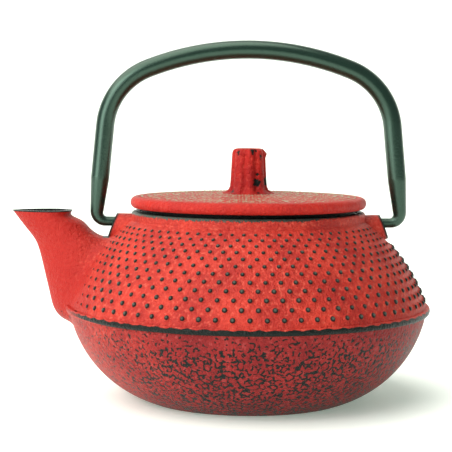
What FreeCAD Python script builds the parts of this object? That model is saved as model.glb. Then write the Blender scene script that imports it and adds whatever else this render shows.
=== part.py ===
import FreeCAD, Part
import math
import os
from collections import namedtuple

# A small cast iron teapot with a hobnail shoulder, a loose lid, a swinging bail and a lift-out
# infuser. Sizes are in millimetres and angles in degrees. The origin is the middle of the flat
# foot, +Z is up, the spout points along -X and the bail turns about an axis along X.

Vector = FreeCAD.Vector
ORIGIN = Vector(0, 0, 0)
UP = Vector(0, 0, 1)
ACROSS = Vector(0, 1, 0)

# Clearances between pieces
SLIDE_CLEARANCE = 0.4    # infuser in the mouth, on the radius
LID_PLAY = 0.6           # lid in the infuser and in the rim, on the radius
PIVOT_CLEARANCE = 0.25   # bail tip in the ear's bore, on the radius
WELD_GAP = 0.05          # between the spot-welded sheets of the infuser
RIVET_GAP = 0.1          # knob tenon in the lid and in its washer
SEW_TOLERANCE = 0.001    # how close the edges of the bail's skins lie to be joined

# Pot casting: bowl, belt, shoulder and neck
FOOT_RADIUS = 37.7
BOWL_SWELL = 5.9         # how far the bowl's arc stands off its chord
BELT_RADIUS = 66.5
BELT_HEIGHT = 33.1
BELT_FACE = 2.2          # height of the belt's upright face
BELT_BULGE = 0.4         # how far that face stands out at its middle
BELT_PROUD = 1.2         # how far the belt stands out past the waist, where bowl and shoulder meet
SHOULDER_SWELL = 2.65
NECK_RADIUS = 42.6
NECK_HEIGHT = 3.8
NECK_COVE = 1.0
RIM_HEIGHT = 68.0
RIM_ROUND = 0.9
WALL = 3.0
FLOOR = 4.0

# Mouth: a rebate that carries the infuser, over a plain throat
RIM_WALL = 2.9
REBATE_DEPTH = 1.2
LEDGE_WIDTH = 3.1
THROAT_DEPTH = 6.2

# Spout
SPOUT_TOE_DROP = 9.1     # from the belt's middle down to the lowest section
SPOUT_WALL = 2.4
SPOUT_POINT = 0.3        # how much the outer end of a section is drawn to a point
SPOUT_FILLET = 6.0       # rounding where the spout grows out of the pot
SEAM_TOLERANCE = 0.001   # how close an edge lies to both skins to count as where they meet
CHANNEL_DEPTH = 6.0      # how far the channel reaches into the pot

# Spout sections from the toe up to the mouth, which is level with the rim, all as shares of the
# spout's height: how far up the section lies, how far its outer and inner ends lie out from the
# pot's surface at that height, and half its width. A negative end lies inside the pot.
SpoutStation = namedtuple("SpoutStation", "share tip back half_width")
SPOUT_STATIONS = (
    SpoutStation(0.00, -0.03, -0.32, 0.150),
    SpoutStation(0.09, 0.075, -0.35, 0.205),
    SpoutStation(0.18, 0.135, -0.37, 0.240),
    SpoutStation(0.30, 0.20, -0.35, 0.255),
    SpoutStation(0.46, 0.315, -0.27, 0.250),
    SpoutStation(0.61, 0.445, -0.175, 0.230),
    SpoutStation(0.72, 0.565, -0.065, 0.215),
    SpoutStation(0.79, 0.67, 0.11, 0.200),
    SpoutStation(0.85, 0.78, 0.255, 0.190),
    SpoutStation(0.92, 0.915, 0.415, 0.180),
    SpoutStation(1.00, 1.085, 0.585, 0.173),
)

# Ears that carry the bail
EAR_DROP = 1.0           # from the rim down to the top of the ear's end face
EAR_LENGTH = 5.4         # from the neck out to the top of the end face
EAR_SLANT = 3.3          # how much further out the foot of the end face lies
EAR_HEIGHT = 8.6
EAR_HALF_WIDTH = 4.4
EAR_ROOT_DROP = 0.2      # how much lower the top of the ear is at its root
EAR_ROOT_HEIGHT = 13.0
EAR_ROOT_HALF_WIDTH = 9.0
EAR_ROOT_DEPTH = 2.6     # how far the ear runs in under the neck
PIVOT_DROP = 3.0         # from the top of the end face down to the pivot
BORE_FLOOR = 0.9         # from the neck's surface out to the bottom of the bore

# Bail: a steel tube bent to an arch, its ends drawn down and turned in
BAIL_RISE = 62.75        # from the pivot up to the centre line's crown
BAIL_STANDOFF = 6.6      # from the ear's face out to the leg's centre line, at the pivot
BAIL_LEAN = 5.5
BAIL_CROWN_RADIUS = 100.0
BAIL_CORNER_RADIUS = 24.7
BAIL_RADIUS = 3.35
BAIL_ANKLE_RADIUS = 2.45
BAIL_TIP_RADIUS = 1.75
BAIL_BEND_RADIUS = 3.5
BAIL_TAPER = 12.0        # length of leg over which the tube is drawn down
BAIL_WALL = 0.9
BAIL_TIP_GAP = 0.5       # from the tip to the bottom of the ear's bore

# Infuser: pressed rim, woven sleeve and floor, and a rolled base ring
FLANGE_THICKNESS = 0.8
COLLAR_THICKNESS = 0.5
COLLAR_DEPTH = 9.0
SLEEVE_THICKNESS = 0.4
SLEEVE_TOP_DROP = 1.0
INFUSER_DEPTH = 44.0
BASE_RING_HEIGHT = 4.0
BASE_RING_THICKNESS = 0.45
BASE_LIP_WIDTH = 3.0
BASE_LIP_THICKNESS = 0.5
FLOOR_MESH_THICKNESS = 0.4

# Lid
LID_OVERHANG = 0.4       # past the neck, on the radius
LID_GAP = 1.2            # open line between the rim and the lid
LID_EDGE = 4.0
LID_EDGE_UNDER = 1.8     # how far the edge's rounding reaches in, below and above
LID_EDGE_OVER = 3.0
LID_EDGE_CREST = 1.9     # from the underside up to where the edge is widest
LID_CROWN = 1.3
LID_TOP_SWELL = 0.35     # how far the top's arc stands off its chord
LID_LAND_RADIUS = 10.0
LID_RECESS = 0.6
SPIGOT_WALL = 3.0
SPIGOT_DEPTH = 4.0

# Knob, riveted through the lid
KNOB_HEIGHT = 16.5
KNOB_FOOT_RADIUS = 9.5
KNOB_FOOT_HEIGHT = 2.4
KNOB_FOOT_HOLLOW = 0.6   # how far the flare of the foot falls in behind its chord
KNOB_RADIUS = 6.5
KNOB_TOP_RADIUS = 5.85
KNOB_TOP_ROUND = 1.1
KNOB_RIBS = 8
KNOB_GROOVE_RADIUS = 1.8
KNOB_GROOVE_DEPTH = 0.6
TENON_RADIUS = 3.0
RIVET_HEAD_RADIUS = 4.3
RIVET_HEAD_HEIGHT = 0.8
WASHER_RADIUS = 6.0
WASHER_THICKNESS = 1.0

# Places worked out from the sizes above
waist = Vector(BELT_RADIUS - BELT_PROUD, 0, BELT_HEIGHT)
shoulder_top = Vector(NECK_RADIUS + NECK_COVE, 0, RIM_HEIGHT - NECK_HEIGHT)
rebate_radius = NECK_RADIUS - RIM_WALL
throat_radius = rebate_radius - LEDGE_WIDTH
ledge_height = RIM_HEIGHT - REBATE_DEPTH
spout_toe = BELT_HEIGHT - SPOUT_TOE_DROP
spout_rise = RIM_HEIGHT - spout_toe
ear_top = RIM_HEIGHT - EAR_DROP
ear_reach = NECK_RADIUS + EAR_LENGTH
pivot_height = ear_top - PIVOT_DROP
bore_bottom = NECK_RADIUS + BORE_FLOOR
flange_top = ledge_height + FLANGE_THICKNESS
collar_radius = throat_radius - SLIDE_CLEARANCE
collar_bore = collar_radius - COLLAR_THICKNESS
sleeve_radius = collar_bore - WELD_GAP
sleeve_bore = sleeve_radius - SLEEVE_THICKNESS
infuser_bottom = ledge_height - INFUSER_DEPTH
lid_underside = RIM_HEIGHT + LID_GAP
lid_top = lid_underside + LID_EDGE + LID_CROWN
spigot_radius = sleeve_bore - LID_PLAY
tenon_hole = TENON_RADIUS + RIVET_GAP
washer_top = lid_underside + LID_RECESS
washer_bottom = washer_top - WASHER_THICKNESS


def at(radius, height):
    """Point of a section through the pot's axis."""
    return Vector(radius, 0, height)


def line(start, end):
    """Straight edge of a section."""
    return Part.LineSegment(start, end)


def swollen(start, end, swell):
    """Arc that stands off its chord by swell, to the right of the way from start to end."""
    chord = end - start
    right = Vector(chord.z, 0, -chord.x).normalize()
    return Part.Arc(start, (start + end) * 0.5 + right * swell, end)


def turned(curves):
    """Solid of a closed section turned about the pot's axis."""
    wire = Part.Wire([curve.toShape() for curve in curves])
    return Part.Face(wire).revolve(ORIGIN, UP, 360)


def ring(outer, inner, bottom, top):
    """Plain round tube between two heights."""
    height = top - bottom
    base = Vector(0, 0, bottom)
    return Part.makeCylinder(outer, height, base).cut(Part.makeCylinder(inner, height, base))


bowl_arc = swollen(at(FOOT_RADIUS, 0), waist, BOWL_SWELL)
bowl_circle = bowl_arc.toShape().Curve
shoulder_arc = swollen(waist, shoulder_top, SHOULDER_SWELL)
shoulder_circle = shoulder_arc.toShape().Curve


def circle_radius(circle, height, inset=0.0):
    """Distance from the pot's axis to a section's circle, or to one inset from it, at a height."""
    rise = height - circle.Center.z
    return circle.Center.x + math.sqrt((circle.Radius - inset) ** 2 - rise ** 2)


def inner_middle(circle, start, end):
    """Point of the inner face of a wall at the height halfway between two of its points."""
    height = (start.z + end.z) / 2
    return at(circle_radius(circle, height, WALL), height)


def pot_outside():
    """Bowl, shoulder, neck and rim as one turned solid."""
    neck_foot = at(NECK_RADIUS, shoulder_top.z + NECK_COVE)
    rim_side = at(NECK_RADIUS, RIM_HEIGHT - RIM_ROUND)
    rim_top = at(NECK_RADIUS - RIM_ROUND, RIM_HEIGHT)
    quarter = RIM_ROUND * (1 - math.sqrt(0.5))
    cove = NECK_COVE * (1 - math.sqrt(0.5))
    return turned([
        line(ORIGIN, at(FOOT_RADIUS, 0)),
        bowl_arc,
        shoulder_arc,
        Part.Arc(shoulder_top, at(NECK_RADIUS + cove, shoulder_top.z + cove), neck_foot),
        line(neck_foot, rim_side),
        Part.Arc(rim_side, at(NECK_RADIUS - quarter, RIM_HEIGHT - quarter), rim_top),
        line(rim_top, at(0, RIM_HEIGHT)),
        line(at(0, RIM_HEIGHT), ORIGIN),
    ])


def belt():
    """Band round the waist, rooted in the pot's wall."""
    face_foot = at(BELT_RADIUS - BELT_BULGE, BELT_HEIGHT - BELT_FACE / 2)
    face_top = at(BELT_RADIUS - BELT_BULGE, BELT_HEIGHT + BELT_FACE / 2)
    root = waist.x - WALL / 2
    return turned([
        Part.Arc(face_foot, at(BELT_RADIUS, BELT_HEIGHT), face_top),
        line(face_top, at(root, face_top.z)),
        line(at(root, face_top.z), at(root, face_foot.z)),
        line(at(root, face_foot.z), face_foot),
    ])


def pot_inside():
    """Cavity, throat and rebate as one turned solid, open at the top."""
    above = RIM_HEIGHT + REBATE_DEPTH
    throat_foot = RIM_HEIGHT - THROAT_DEPTH
    floor_edge = at(circle_radius(bowl_circle, FLOOR, WALL), FLOOR)
    inner_waist = at(circle_radius(bowl_circle, BELT_HEIGHT, WALL), BELT_HEIGHT)
    bowl_middle = inner_middle(bowl_circle, floor_edge, inner_waist)
    shoulder_end = at(circle_radius(shoulder_circle, throat_foot, WALL), throat_foot)
    shoulder_middle = inner_middle(shoulder_circle, inner_waist, shoulder_end)
    corners = [
        shoulder_end,
        at(throat_radius, throat_foot),
        at(throat_radius, ledge_height),
        at(rebate_radius, ledge_height),
        at(rebate_radius, above),
        at(0, above),
        at(0, FLOOR),
        floor_edge,
    ]
    return turned([
        Part.Arc(floor_edge, bowl_middle, inner_waist),
        Part.Arc(inner_waist, shoulder_middle, shoulder_end),
    ] + [line(start, end) for start, end in zip(corners, corners[1:])])


def body_radius(height):
    """Radius of the pot's outside at a height, with the belt left out."""
    circle = bowl_circle if height < BELT_HEIGHT else shoulder_circle
    return circle_radius(circle, height)


def smooth_loop(points):
    """Smooth closed wire through points, evenly parametrised so that sections match up."""
    curve = Part.BSplineCurve()
    curve.interpolate(Points=points, PeriodicFlag=True, Parameters=list(range(len(points) + 1)))
    return Part.Wire(curve.toShape())


def spout_loop(half, height):
    """Level section of the spout from (reach, width) points of one half, from tip to back."""
    points = half + [(reach, -width) for reach, width in half[-2:0:-1]]
    return smooth_loop([Vector(-reach, width, height) for reach, width in points])


def oval(centre, up, across):
    """Oval about a centre, with its two half axes as vectors."""
    turns = [index * math.pi / 6 for index in range(12)]
    return smooth_loop([centre + up * math.cos(turn) + across * math.sin(turn) for turn in turns])


def free_section(tip, back, half_width):
    """Pointed oval, as half an outline from tip to back."""
    middle = (tip + back) / 2
    half_length = (tip - back) / 2
    half = []
    for degrees in (0, 30, 55, 80, 110, 140, 162, 180):
        turn = math.radians(degrees)
        taper = 1 - SPOUT_POINT * math.cos(turn)
        half.append((middle + half_length * math.cos(turn), half_width * math.sin(turn) * taper))
    return half


def spout_height(station):
    """Height of a section of the spout."""
    return spout_toe + station.share * spout_rise


def spout_ends(station):
    """Distances of a section's outer and inner ends from the pot's axis."""
    surface = body_radius(spout_height(station))
    return surface + station.tip * spout_rise, surface + station.back * spout_rise


def spout_outside():
    """Spout from its toe under the belt to its mouth, reaching into the pot."""
    sections = []
    for station in SPOUT_STATIONS:
        tip, back = spout_ends(station)
        half = free_section(tip, back, station.half_width * spout_rise)
        sections.append(spout_loop(half, spout_height(station)))
    return Part.makeLoft(sections, True, False)


def spout_channel():
    """Way of the tea through the spout, a wall inside it and open at both ends."""
    sections = []
    for station in SPOUT_STATIONS[1:-1]:
        height = spout_height(station) + SPOUT_WALL * (1 - 2 * station.share)
        tip, back = spout_ends(station)
        inner_back = back + SPOUT_WALL * math.sqrt(0.5)
        if station.back < 0:
            inner_back = body_radius(height) - CHANNEL_DEPTH
        half_width = station.half_width * spout_rise - SPOUT_WALL
        sections.append(spout_loop(free_section(tip - SPOUT_WALL, inner_back, half_width), height))
    last = SPOUT_STATIONS[-1]
    tip, back = spout_ends(last)
    half_width = last.half_width * spout_rise - SPOUT_WALL
    mouth = free_section(tip - SPOUT_WALL, back + SPOUT_WALL, half_width)
    for height in (RIM_HEIGHT, RIM_HEIGHT + SPOUT_WALL):
        sections.append(spout_loop(mouth, height))
    return Part.makeLoft(sections, True, False)


def seam(joined, first, second):
    """Edges of a joined solid that lie on the skins of both solids it was made from."""
    edges = []
    for edge in joined.Edges:
        middle = Part.Vertex(edge.valueAt((edge.FirstParameter + edge.LastParameter) / 2))
        gaps = [solid.Shells[0].distToShape(middle)[0] for solid in (first, second)]
        if max(gaps) < SEAM_TOLERANCE:
            edges.append(edge)
    return edges


def pot_with_spout():
    """Pot and spout as one solid, rounded where they meet."""
    pot = pot_outside()
    spout = spout_outside()
    joined = pot.fuse(spout)
    return joined.makeFillet(SPOUT_FILLET, seam(joined, pot, spout))


def ear(side):
    """Tapered boss on the neck for one end of the bail, on the side of +X or -X."""
    face_top = Vector(side * ear_reach, 0, ear_top)
    face_foot = Vector(side * (ear_reach + EAR_SLANT), 0, ear_top - EAR_HEIGHT)
    face_centre = (face_top + face_foot) * 0.5
    root_up = UP * (EAR_ROOT_HEIGHT / 2)
    root_centre = Vector(side * (NECK_RADIUS - EAR_ROOT_DEPTH), 0, ear_top - EAR_ROOT_DROP) - root_up
    face = oval(face_centre, face_top - face_centre, ACROSS * EAR_HALF_WIDTH)
    root = oval(root_centre, root_up, ACROSS * EAR_ROOT_HALF_WIDTH)
    return Part.makeLoft([root, face], True, True)


def ear_bore(side):
    """Blind bore for one tip of the bail."""
    start = Vector(side * bore_bottom, 0, pivot_height)
    length = ear_reach + EAR_SLANT - bore_bottom
    return Part.makeCylinder(BAIL_TIP_RADIUS + PIVOT_CLEARANCE, length, start, Vector(side, 0, 0))


def pot_body():
    """Casting of the pot with its spout and ears, hollowed out."""
    outside = pot_with_spout().fuse([belt(), ear(1), ear(-1)])
    return outside.cut([pot_inside(), spout_channel(), ear_bore(1), ear_bore(-1)])


def bail_path():
    """Points and directions of the right half of the bail's centre line, in the XZ plane."""
    lean = math.radians(BAIL_LEAN)
    face_share = PIVOT_DROP / EAR_HEIGHT
    half_span = ear_reach + EAR_SLANT * face_share + BAIL_STANDOFF
    leg_foot = at(half_span, pivot_height)
    up_leg = Vector(-math.sin(lean), 0, math.cos(lean))
    inward = Vector(-math.cos(lean), 0, -math.sin(lean))
    crown_centre = at(0, pivot_height + BAIL_RISE - BAIL_CROWN_RADIUS)
    to_line = leg_foot + inward * BAIL_CORNER_RADIUS - crown_centre
    along = to_line.dot(up_leg)
    reach = BAIL_CROWN_RADIUS - BAIL_CORNER_RADIUS
    travel = math.sqrt(along ** 2 - to_line.dot(to_line) + reach ** 2) - along
    corner_centre = leg_foot + inward * BAIL_CORNER_RADIUS + up_leg * travel
    corner_foot = leg_foot + up_leg * travel
    corner_top = crown_centre + (corner_centre - crown_centre) * (BAIL_CROWN_RADIUS / reach)
    chord_middle = (corner_foot + corner_top) * 0.5
    outward = (chord_middle - corner_centre).normalize()
    corner_middle = corner_centre + outward * BAIL_CORNER_RADIUS
    bend_rise = BAIL_BEND_RADIUS * (1 + math.sin(lean)) / math.cos(lean)
    bend_top = leg_foot + up_leg * bend_rise
    taper_top = bend_top + up_leg * BAIL_TAPER
    bend_centre = bend_top + inward * BAIL_BEND_RADIUS
    return {
        "up_leg": up_leg,
        "taper_top": taper_top,
        "corner_foot": corner_foot,
        "corner_middle": corner_middle,
        "corner_top": corner_top,
        "crown": at(0, pivot_height + BAIL_RISE),
        "bend_top": bend_top,
        "bend_centre": bend_centre,
    }


def mirrored(point):
    """The same point on the left half of the bail."""
    return Vector(-point.x, point.y, point.z)


def bail_ring(point, tangent, radius):
    """Circle round the bail's centre line, its seam always on the same side."""
    circle = Part.Circle(point, tangent, radius)
    circle.XAxis = ACROSS
    return Part.Wire(circle.toShape())


def bail_arch(path, thinner):
    """Skin along the legs, corners and crown, between the tops of the tapers."""
    right = [path[name] for name in ("taper_top", "corner_foot", "corner_middle", "corner_top")]
    left = [mirrored(point) for point in right]
    spine = Part.Wire([
        line(right[0], right[1]).toShape(),
        Part.Arc(right[1], right[2], right[3]).toShape(),
        Part.Arc(right[3], path["crown"], left[3]).toShape(),
        Part.Arc(left[3], left[2], left[1]).toShape(),
        line(left[1], left[0]).toShape(),
    ])
    pipe = Part.BRepOffsetAPI.MakePipeShell(spine)
    pipe.add(bail_ring(right[0], path["up_leg"], BAIL_RADIUS - thinner))
    pipe.build()
    return pipe.shape().Faces


def bail_end(path, thinner, tip_end):
    """Skin of the right leg's drawn-down end, its bend and its straight tip."""
    bend_start = math.radians(BAIL_LEAN)
    bend_turn = bend_start + math.pi / 2
    taper = bail_ring(path["taper_top"], -path["up_leg"], BAIL_RADIUS - thinner)
    bend = []
    for share in (0, 0.25, 0.5, 0.75, 1.0):
        turn = bend_start - share * bend_turn
        outward = Vector(math.cos(turn), 0, math.sin(turn))
        onward = Vector(math.sin(turn), 0, -math.cos(turn))
        radius = BAIL_ANKLE_RADIUS + share * (BAIL_TIP_RADIUS - BAIL_ANKLE_RADIUS) - thinner
        bend.append(bail_ring(path["bend_centre"] + outward * BAIL_BEND_RADIUS, onward, radius))
    leg = Part.makeLoft([taper, bend[0]], False, True)
    tip = bend[-1].extrude(Vector(tip_end - path["bend_centre"].x, 0, 0))
    return leg.Faces + Part.makeLoft(bend, False, False).Faces + tip.Faces


def bail():
    """Steel tube, closed from its outer and inner skins and a ring face at each tip."""
    path = bail_path()
    tip_end = bore_bottom + BAIL_TIP_GAP
    tip = at(tip_end, pivot_height)
    rims = [bail_ring(tip, ACROSS.cross(UP), BAIL_TIP_RADIUS - thinner) for thinner in (0, BAIL_WALL)]
    right = [Part.Face(rims, "Part::FaceMakerBullseye")]
    faces = []
    for thinner in (0, BAIL_WALL):
        faces += bail_arch(path, thinner)
        right += bail_end(path, thinner, tip_end)
    faces += right + [face.mirror(ORIGIN, Vector(1, 0, 0)) for face in right]
    skin = Part.Compound(faces)
    skin.sewShape(SEW_TOLERANCE)
    return Part.Solid(skin.Shells[0])


def infuser_rim():
    """Pressed flange that hangs on the ledge, with a collar down the throat."""
    flange = ring(rebate_radius - SLIDE_CLEARANCE, collar_bore, ledge_height, flange_top)
    collar = ring(collar_radius, collar_bore, ledge_height - COLLAR_DEPTH, ledge_height)
    return flange.fuse(collar).removeSplitter()


def infuser_sleeve():
    """Mesh wall, welded inside the collar and standing on the base ring's lip."""
    bottom = infuser_bottom + BASE_LIP_THICKNESS
    return ring(sleeve_radius, sleeve_bore, bottom, ledge_height - SLEEVE_TOP_DROP)


def infuser_floor():
    """Mesh disc that lies on the base ring's lip."""
    bottom = infuser_bottom + BASE_LIP_THICKNESS
    return Part.makeCylinder(sleeve_bore - WELD_GAP, FLOOR_MESH_THICKNESS, Vector(0, 0, bottom))


def infuser_base_ring():
    """Rolled hoop round the foot of the sleeve, with a lip turned in under it."""
    wall_bore = sleeve_radius + WELD_GAP
    wall_radius = wall_bore + BASE_RING_THICKNESS
    lip_top = infuser_bottom + BASE_LIP_THICKNESS
    wall = ring(wall_radius, wall_bore, lip_top, infuser_bottom + BASE_RING_HEIGHT)
    lip = ring(wall_radius, sleeve_bore - BASE_LIP_WIDTH, infuser_bottom, lip_top)
    return wall.fuse(lip).removeSplitter()


def lid():
    """Low domed disc with a seat that rests on the infuser and a spigot that centres it."""
    radius = NECK_RADIUS + LID_OVERHANG
    edge_foot = at(radius - LID_EDGE_UNDER, lid_underside)
    edge_top = at(radius - LID_EDGE_OVER, lid_underside + LID_EDGE)
    land_edge = at(LID_LAND_RADIUS, lid_top)
    seat_radius = rebate_radius - LID_PLAY
    spigot_foot = flange_top - SPIGOT_DEPTH
    under = [
        at(tenon_hole, lid_top),
        at(tenon_hole, washer_top),
        at(spigot_radius - SPIGOT_WALL, washer_top),
        at(spigot_radius - SPIGOT_WALL, spigot_foot),
        at(spigot_radius, spigot_foot),
        at(spigot_radius, flange_top),
        at(seat_radius, flange_top),
        at(seat_radius, lid_underside),
        edge_foot,
    ]
    return turned([line(start, end) for start, end in zip(under, under[1:])] + [
        Part.Arc(edge_foot, at(radius, lid_underside + LID_EDGE_CREST), edge_top),
        swollen(edge_top, land_edge, LID_TOP_SWELL),
        line(land_edge, under[0]),
    ])


def lid_knob():
    """Ribbed stump of a knob on a flared foot, with its tenon peened over under the lid."""
    stem_foot = at(KNOB_RADIUS, lid_top + KNOB_FOOT_HEIGHT)
    knob_top = lid_top + KNOB_HEIGHT
    stem_top = at(KNOB_TOP_RADIUS, knob_top - KNOB_TOP_ROUND)
    top_edge = at(KNOB_TOP_RADIUS - KNOB_TOP_ROUND, knob_top)
    quarter = KNOB_TOP_ROUND * (1 - math.sqrt(0.5))
    foot_edge = at(KNOB_FOOT_RADIUS, lid_top)
    head_top = washer_bottom
    outline = [
        at(0, knob_top),
        at(0, head_top - RIVET_HEAD_HEIGHT),
        at(RIVET_HEAD_RADIUS, head_top - RIVET_HEAD_HEIGHT),
        at(RIVET_HEAD_RADIUS, head_top),
        at(TENON_RADIUS, head_top),
        at(TENON_RADIUS, lid_top),
        foot_edge,
    ]
    stem = turned([line(start, end) for start, end in zip(outline, outline[1:])] + [
        swollen(foot_edge, stem_foot, -KNOB_FOOT_HOLLOW),
        line(stem_foot, stem_top),
        Part.Arc(stem_top, at(stem_top.x - quarter, knob_top - quarter), top_edge),
        line(top_edge, outline[0]),
    ])
    offset = at(KNOB_GROOVE_RADIUS - KNOB_GROOVE_DEPTH, 0)
    rise = stem_top - stem_foot
    grooves = []
    for index in range(KNOB_RIBS):
        groove = Part.makeCylinder(KNOB_GROOVE_RADIUS, 2 * rise.Length, stem_foot + offset, rise)
        groove.rotate(ORIGIN, UP, 360 * (index + 0.5) / KNOB_RIBS)
        grooves.append(groove)
    return stem.cut(grooves)


def knob_washer():
    """Washer under the lid that the knob's tenon is peened over."""
    return ring(WASHER_RADIUS, tenon_hole, washer_bottom, washer_top)


PIECES = {
    "pot_body": pot_body,
    "bail": bail,
    "infuser_rim": infuser_rim,
    "infuser_sleeve": infuser_sleeve,
    "infuser_floor": infuser_floor,
    "infuser_base_ring": infuser_base_ring,
    "lid": lid,
    "lid_knob": lid_knob,
    "knob_washer": knob_washer,
}

os.makedirs("parts", exist_ok=True)
for name, make in PIECES.items():
    make().exportStep("parts/" + name + ".step")
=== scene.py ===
"""Looks of a small cast iron teapot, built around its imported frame.

Lengths are metres in the frame's axes: +Z is up, the spout points along -X and the bail turns
about a line along X. Names that end in _mm hold real sizes in millimetres. Names with _range
hold the two values between which a mask or a shift goes from its least to its most.
"""

import logging
import math
import random
from contextlib import contextmanager
from dataclasses import dataclass, field
from enum import Enum
from functools import cached_property
from typing import Callable, Iterator

import bpy
from bpy.types import Material, Node, NodeSocket, Object
from mathutils import Matrix, Vector


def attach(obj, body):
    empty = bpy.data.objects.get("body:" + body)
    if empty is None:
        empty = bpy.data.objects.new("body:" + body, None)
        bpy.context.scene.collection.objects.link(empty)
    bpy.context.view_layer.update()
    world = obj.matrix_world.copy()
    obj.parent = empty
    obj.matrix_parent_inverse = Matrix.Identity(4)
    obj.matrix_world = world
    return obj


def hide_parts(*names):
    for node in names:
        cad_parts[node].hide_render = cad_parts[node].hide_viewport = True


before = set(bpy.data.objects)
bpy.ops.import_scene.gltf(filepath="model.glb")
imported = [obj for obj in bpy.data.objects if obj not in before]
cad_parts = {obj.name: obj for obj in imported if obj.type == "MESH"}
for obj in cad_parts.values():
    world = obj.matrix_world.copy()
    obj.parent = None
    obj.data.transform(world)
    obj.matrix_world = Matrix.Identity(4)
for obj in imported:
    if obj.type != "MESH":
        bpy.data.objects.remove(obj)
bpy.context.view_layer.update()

MM = 0.001
TIP_ATTRIBUTE = "tip"

# Numbers of the sockets of a Mix node that take and give colours
FIRST = 6
SECOND = 7
MIXED = 2

log = logging.getLogger("teapot")


class Body(Enum):
    """Moving bodies that carry added pieces."""

    POT = "pot"
    LID = "lid"


class Slot(Enum):
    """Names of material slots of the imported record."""

    POT = "painted_iron"
    LID = "painted_lid"
    KNOB = "painted_knob"


class Element(Enum):
    """Kinds of mesh element that are picked for editing."""

    VERTEX = "VERT"
    FACE = "FACE"


@dataclass(frozen=True)
class Arc:
    """Round stretch of the pot's section that stands off its chord, as (radius, height) points."""

    start_mm: tuple[float, float]
    end_mm: tuple[float, float]
    swell_mm: float

    def circle(self) -> tuple[float, float, float]:
        """Work out the circle that the arc lies on.

        Returns:
            Distance of its centre from the pot's axis, the centre's height, and the radius.
        """
        across = self.end_mm[0] - self.start_mm[0]
        rise = self.end_mm[1] - self.start_mm[1]
        chord = math.hypot(across, rise)
        radius = (chord ** 2 / 4 + self.swell_mm ** 2) / (2 * self.swell_mm)
        inset = radius - self.swell_mm
        middle = [(start + end) / 2 for start, end in zip(self.start_mm, self.end_mm)]
        return middle[0] - rise / chord * inset, middle[1] + across / chord * inset, radius


WAIST_MM = (65.3, 33.1)
BOWL = Arc((37.7, 0.0), WAIST_MM, 5.9)
SHOULDER = Arc(WAIST_MM, (43.6, 64.2), 2.65)
RIM_MM = 68.0

# Hobnails in a full row, where the top row starts and how far every second row is shifted,
# both in steps from one hobnail to the next
HOBNAILS_PER_ROW = 72
HOBNAIL_PHASE = 0.47
HOBNAIL_STAGGER = 0.5

# Least upward part of a face's normal on the top of a cylinder, and the sharpest smooth edge on a nub
UPWARD = 0.5
NUB_SMOOTH_DEGREES = 60.0


def linear(hex_colour: str) -> tuple[float, float, float, float]:
    """Turn an sRGB hex colour to linear light.

    Args:
        hex_colour: Six hex digits, such as "c8372d".

    Returns:
        Red, green, blue and an alpha of 1.
    """
    shares = [int(hex_colour[start:start + 2], 16) / 255 for start in (0, 2, 4)]
    levels = [s / 12.92 if s <= 0.04045 else ((s + 0.055) / 1.055) ** 2.4 for s in shares]
    return (*levels, 1.0)


class Finish:
    """One material, its nodes and the places on the piece that its patterns read."""

    def __init__(self, name: str) -> None:
        """Start an empty node tree.

        Args:
            name: Name of the material.
        """
        self.material = bpy.data.materials.new(name)
        self.material.use_nodes = True
        self.tree = self.material.node_tree
        self.tree.nodes.clear()

    def add(self, kind: str, inputs: dict | None = None, **settings: object) -> Node:
        """Add a node with its settings and links.

        Args:
            kind: Node type, without its ShaderNode prefix.
            inputs: Socket name or number to a value, to a socket to link from, or to a node whose
                first output is linked.
            settings: Properties of the node.

        Returns:
            The new node.
        """
        node = self.tree.nodes.new("ShaderNode" + kind)
        for name, value in settings.items():
            setattr(node, name, value)
        for key, value in (inputs or {}).items():
            source = value.outputs[0] if isinstance(value, Node) else value
            if isinstance(source, NodeSocket):
                self.tree.links.new(source, node.inputs[key])
            else:
                node.inputs[key].default_value = source
        return node

    @cached_property
    def place(self) -> NodeSocket:
        """Object coordinates."""
        return self.add("TexCoord").outputs["Object"]

    @cached_property
    def axes(self) -> bpy.types.bpy_prop_collection:
        """Places along X, Y and Z."""
        return self.add("SeparateXYZ", {0: self.place}).outputs

    @cached_property
    def radius(self) -> NodeSocket:
        """Distance from the pot's axis."""
        level = self.add("VectorMath", {0: self.place, 1: (1.0, 1.0, 0.0)}, operation="MULTIPLY")
        return self.add("VectorMath", {0: level}, operation="LENGTH").outputs["Value"]

    def close(self, surface: Node) -> Material:
        """Link the shader to the output.

        Args:
            surface: The shader.

        Returns:
            The finished material.
        """
        self.add("OutputMaterial", {"Surface": surface})
        return self.material


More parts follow.
